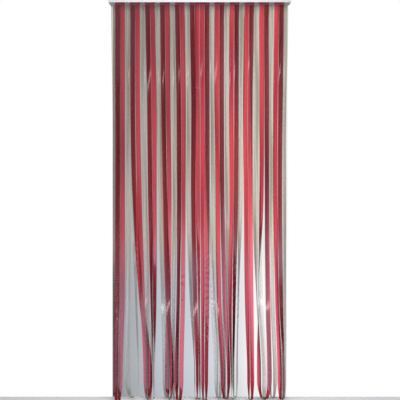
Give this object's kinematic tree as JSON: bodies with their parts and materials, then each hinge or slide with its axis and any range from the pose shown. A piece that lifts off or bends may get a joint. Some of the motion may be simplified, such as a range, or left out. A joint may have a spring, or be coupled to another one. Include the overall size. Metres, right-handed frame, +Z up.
{
  "type": "looped ribbon door curtain",
  "caption": "Door curtain of long looped PVC ribbons in red and grey, hung in two rows on rods inside a white header rail that clips under a lintel; each loop swings on its rod.",
  "frame": {"origin": "centre of the middle bracket's top face, which lies against the lintel", "axes": "+Z up, -Y towards the front (the red row's side), +X to the right seen from the front"},
  "size_m": [0.922, 0.0566, 2.0326],
  "materials": {
    "rail_lacquer": "satin white lacquer on aluminium",
    "cap_plastic": "white moulded plastic",
    "comb_nylon": "natural white nylon",
    "zinc_steel": "bright zinc plate",
    "red_clip": "red moulded plastic",
    "grey_clip": "warm grey moulded plastic",
    "red_pvc": "glossy translucent soft PVC",
    "grey_pvc": "glossy translucent soft PVC"
  },
  "bodies": {
    "rail": {"header_rail": "rail_lacquer", "end_cap_left": "cap_plastic", "end_cap_right": "cap_plastic", "cap_screw_left": "zinc_steel", "cap_screw_right": "zinc_steel", "lintel_bracket_left": "zinc_steel", "lintel_bracket_middle": "zinc_steel", "lintel_bracket_right": "zinc_steel", "front_rod": "zinc_steel", "rear_rod": "zinc_steel", "front_comb": "comb_nylon", "rear_comb": "comb_nylon"},
    "red_loop_01": {"red_hanger_01": "red_clip", "red_ribbon_01": "red_pvc"},
    "red_loop_02": {"red_hanger_02": "red_clip", "red_ribbon_02": "red_pvc"},
    "red_loop_03": {"red_hanger_03": "red_clip", "red_ribbon_03": "red_pvc"},
    "red_loop_04": {"red_hanger_04": "red_clip", "red_ribbon_04": "red_pvc"},
    "red_loop_05": {"red_hanger_05": "red_clip", "red_ribbon_05": "red_pvc"},
    "red_loop_06": {"red_hanger_06": "red_clip", "red_ribbon_06": "red_pvc"},
    "red_loop_07": {"red_hanger_07": "red_clip", "red_ribbon_07": "red_pvc"},
    "red_loop_08": {"red_hanger_08": "red_clip", "red_ribbon_08": "red_pvc"},
    "red_loop_09": {"red_hanger_09": "red_clip", "red_ribbon_09": "red_pvc"},
    "red_loop_10": {"red_hanger_10": "red_clip", "red_ribbon_10": "red_pvc"},
    "red_loop_11": {"red_hanger_11": "red_clip", "red_ribbon_11": "red_pvc"},
    "red_loop_12": {"red_hanger_12": "red_clip", "red_ribbon_12": "red_pvc"},
    "grey_loop_01": {"grey_hanger_01": "grey_clip", "grey_ribbon_01": "grey_pvc"},
    "grey_loop_02": {"grey_hanger_02": "grey_clip", "grey_ribbon_02": "grey_pvc"},
    "grey_loop_03": {"grey_hanger_03": "grey_clip", "grey_ribbon_03": "grey_pvc"},
    "grey_loop_04": {"grey_hanger_04": "grey_clip", "grey_ribbon_04": "grey_pvc"},
    "grey_loop_05": {"grey_hanger_05": "grey_clip", "grey_ribbon_05": "grey_pvc"},
    "grey_loop_06": {"grey_hanger_06": "grey_clip", "grey_ribbon_06": "grey_pvc"},
    "grey_loop_07": {"grey_hanger_07": "grey_clip", "grey_ribbon_07": "grey_pvc"},
    "grey_loop_08": {"grey_hanger_08": "grey_clip", "grey_ribbon_08": "grey_pvc"},
    "grey_loop_09": {"grey_hanger_09": "grey_clip", "grey_ribbon_09": "grey_pvc"},
    "grey_loop_10": {"grey_hanger_10": "grey_clip", "grey_ribbon_10": "grey_pvc"},
    "grey_loop_11": {"grey_hanger_11": "grey_clip", "grey_ribbon_11": "grey_pvc"},
    "grey_loop_12": {"grey_hanger_12": "grey_clip", "grey_ribbon_12": "grey_pvc"}
  },
  "joints": [
    {"name": "red_loop_01_swing", "type": "hinge", "parent": "rail", "child": "red_loop_01", "pos_m": [-0.4, -0.013, -0.0288], "axis": [-1, 0, 0], "range_deg": [0, 60]},
    {"name": "red_loop_02_swing", "type": "hinge", "parent": "rail", "child": "red_loop_02", "pos_m": [-0.325, -0.013, -0.0288], "axis": [-1, 0, 0], "range_deg": [0, 60]},
    {"name": "red_loop_03_swing", "type": "hinge", "parent": "rail", "child": "red_loop_03", "pos_m": [-0.25, -0.013, -0.0288], "axis": [-1, 0, 0], "range_deg": [0, 60]},
    {"name": "red_loop_04_swing", "type": "hinge", "parent": "rail", "child": "red_loop_04", "pos_m": [-0.175, -0.013, -0.0288], "axis": [-1, 0, 0], "range_deg": [0, 60]},
    {"name": "red_loop_05_swing", "type": "hinge", "parent": "rail", "child": "red_loop_05", "pos_m": [-0.1, -0.013, -0.0288], "axis": [-1, 0, 0], "range_deg": [0, 60]},
    {"name": "red_loop_06_swing", "type": "hinge", "parent": "rail", "child": "red_loop_06", "pos_m": [-0.025, -0.013, -0.0288], "axis": [-1, 0, 0], "range_deg": [0, 60]},
    {"name": "red_loop_07_swing", "type": "hinge", "parent": "rail", "child": "red_loop_07", "pos_m": [0.025, -0.013, -0.0288], "axis": [-1, 0, 0], "range_deg": [0, 60]},
    {"name": "red_loop_08_swing", "type": "hinge", "parent": "rail", "child": "red_loop_08", "pos_m": [0.1, -0.013, -0.0288], "axis": [-1, 0, 0], "range_deg": [0, 60]},
    {"name": "red_loop_09_swing", "type": "hinge", "parent": "rail", "child": "red_loop_09", "pos_m": [0.175, -0.013, -0.0288], "axis": [-1, 0, 0], "range_deg": [0, 60]},
    {"name": "red_loop_10_swing", "type": "hinge", "parent": "rail", "child": "red_loop_10", "pos_m": [0.25, -0.013, -0.0288], "axis": [-1, 0, 0], "range_deg": [0, 60]},
    {"name": "red_loop_11_swing", "type": "hinge", "parent": "rail", "child": "red_loop_11", "pos_m": [0.325, -0.013, -0.0288], "axis": [-1, 0, 0], "range_deg": [0, 60]},
    {"name": "red_loop_12_swing", "type": "hinge", "parent": "rail", "child": "red_loop_12", "pos_m": [0.4, -0.013, -0.0288], "axis": [-1, 0, 0], "range_deg": [0, 60]},
    {"name": "grey_loop_01_swing", "type": "hinge", "parent": "rail", "child": "grey_loop_01", "pos_m": [-0.425, 0.013, -0.0288], "axis": [1, 0, 0], "range_deg": [0, 60]},
    {"name": "grey_loop_02_swing", "type": "hinge", "parent": "rail", "child": "grey_loop_02", "pos_m": [-0.35, 0.013, -0.0288], "axis": [1, 0, 0], "range_deg": [0, 60]},
    {"name": "grey_loop_03_swing", "type": "hinge", "parent": "rail", "child": "grey_loop_03", "pos_m": [-0.275, 0.013, -0.0288], "axis": [1, 0, 0], "range_deg": [0, 60]},
    {"name": "grey_loop_04_swing", "type": "hinge", "parent": "rail", "child": "grey_loop_04", "pos_m": [-0.2, 0.013, -0.0288], "axis": [1, 0, 0], "range_deg": [0, 60]},
    {"name": "grey_loop_05_swing", "type": "hinge", "parent": "rail", "child": "grey_loop_05", "pos_m": [-0.125, 0.013, -0.0288], "axis": [1, 0, 0], "range_deg": [0, 60]},
    {"name": "grey_loop_06_swing", "type": "hinge", "parent": "rail", "child": "grey_loop_06", "pos_m": [-0.05, 0.013, -0.0288], "axis": [1, 0, 0], "range_deg": [0, 60]},
    {"name": "grey_loop_07_swing", "type": "hinge", "parent": "rail", "child": "grey_loop_07", "pos_m": [0.05, 0.013, -0.0288], "axis": [1, 0, 0], "range_deg": [0, 60]},
    {"name": "grey_loop_08_swing", "type": "hinge", "parent": "rail", "child": "grey_loop_08", "pos_m": [0.125, 0.013, -0.0288], "axis": [1, 0, 0], "range_deg": [0, 60]},
    {"name": "grey_loop_09_swing", "type": "hinge", "parent": "rail", "child": "grey_loop_09", "pos_m": [0.2, 0.013, -0.0288], "axis": [1, 0, 0], "range_deg": [0, 60]},
    {"name": "grey_loop_10_swing", "type": "hinge", "parent": "rail", "child": "grey_loop_10", "pos_m": [0.275, 0.013, -0.0288], "axis": [1, 0, 0], "range_deg": [0, 60]},
    {"name": "grey_loop_11_swing", "type": "hinge", "parent": "rail", "child": "grey_loop_11", "pos_m": [0.35, 0.013, -0.0288], "axis": [1, 0, 0], "range_deg": [0, 60]},
    {"name": "grey_loop_12_swing", "type": "hinge", "parent": "rail", "child": "grey_loop_12", "pos_m": [0.425, 0.013, -0.0288], "axis": [1, 0, 0], "range_deg": [0, 60]}
  ]
}
